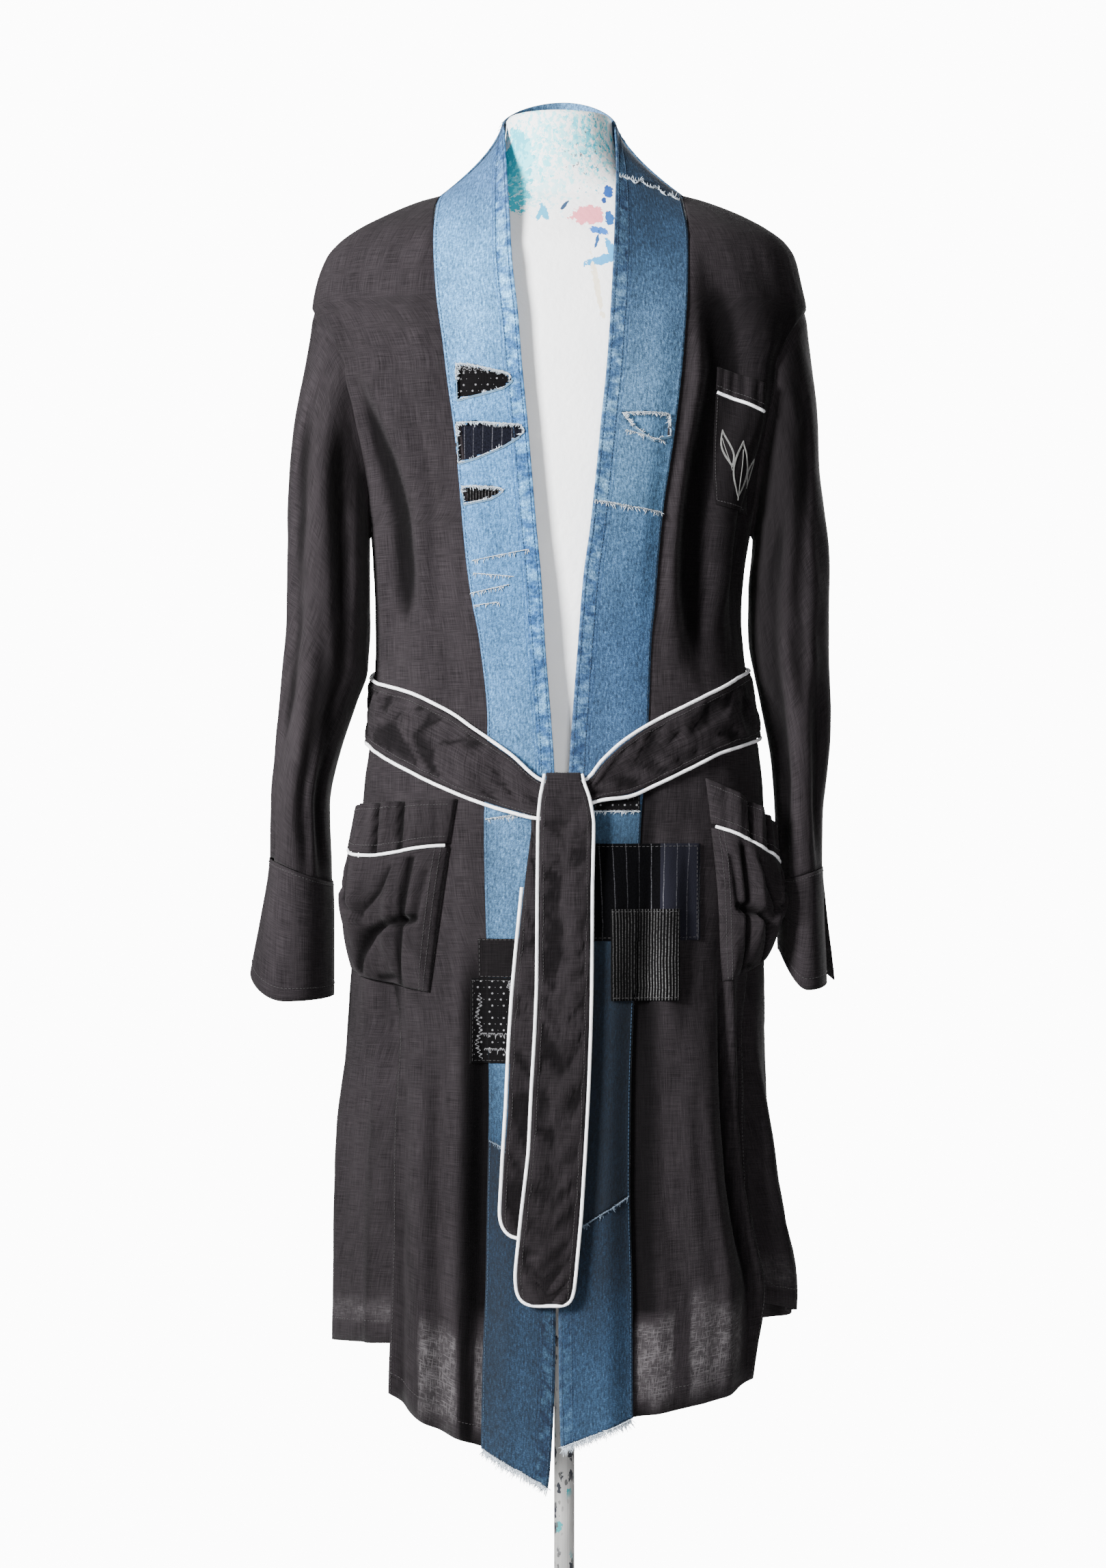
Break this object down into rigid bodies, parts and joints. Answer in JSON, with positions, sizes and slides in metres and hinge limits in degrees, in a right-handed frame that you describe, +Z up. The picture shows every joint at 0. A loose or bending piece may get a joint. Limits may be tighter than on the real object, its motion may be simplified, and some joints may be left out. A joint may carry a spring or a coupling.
{
  "type": "patched linen robe on a limbless dress form",
  "caption": "Loose wrap robe with pieced denim lapel bands, patch pockets, cuffed sleeves and a tied belt, on a limbless dress form with a pole and a round base.",
  "frame": {"origin": "centre of the stand base's underside", "axes": "+Z up along the pole, the robe's front faces -Y, the wearer's left side is at +X"},
  "size_m": [0.5573, 0.36, 1.6321],
  "materials": {
    "linen": "matt charcoal-black linen, loosely woven",
    "denim": "worn light blue denim",
    "denim_dark": "dark indigo denim",
    "plain_black": "matt black cotton",
    "bandana": "black printed cotton",
    "pinstripe": "navy pinstriped cloth",
    "fine_stripe": "black cloth with fine stripes",
    "piping": "white cotton piping",
    "form": "white, paint-stained",
    "pole": "light grey, speckled with paint",
    "base": "light grey, plain"
  },
  "bodies": {
    "root": {"form_torso": "form", "stand_pole": "pole", "stand_base": "base", "front_right": "linen", "front_left": "linen", "back": "linen", "sleeve_right": "linen", "sleeve_left": "linen", "cuff_right": "linen", "cuff_left": "linen", "band_neck": "denim", "band_right_chest": "denim", "band_right_skirt": "denim", "band_right_hem": "denim_dark", "band_left_chest": "denim", "band_left_waist": "denim", "band_left_skirt": "denim_dark", "band_left_hem": "denim", "rip_bandana_patch": "bandana", "rip_pinstripe_patch": "pinstripe", "rip_fine_stripe_patch": "fine_stripe", "rip_denim_patch": "denim", "patch_black": "plain_black", "patch_bandana": "bandana", "patch_bandana_strip": "bandana", "patch_pinstripe": "pinstripe", "patch_fine_stripe": "fine_stripe", "hip_pocket_right": "linen", "hip_pocket_band_right": "linen", "hip_pocket_piping_right": "piping", "hip_pocket_left": "linen", "hip_pocket_band_left": "linen", "hip_pocket_piping_left": "piping", "chest_pocket": "linen", "chest_pocket_band": "linen", "chest_pocket_piping": "piping", "belt_waist": "linen", "belt_piping_top": "piping", "belt_piping_bottom": "piping", "belt_tail_front": "linen", "belt_tail_front_piping": "piping", "belt_tail_rear": "linen", "belt_tail_rear_piping": "piping"}
  },
  "joints": []
}
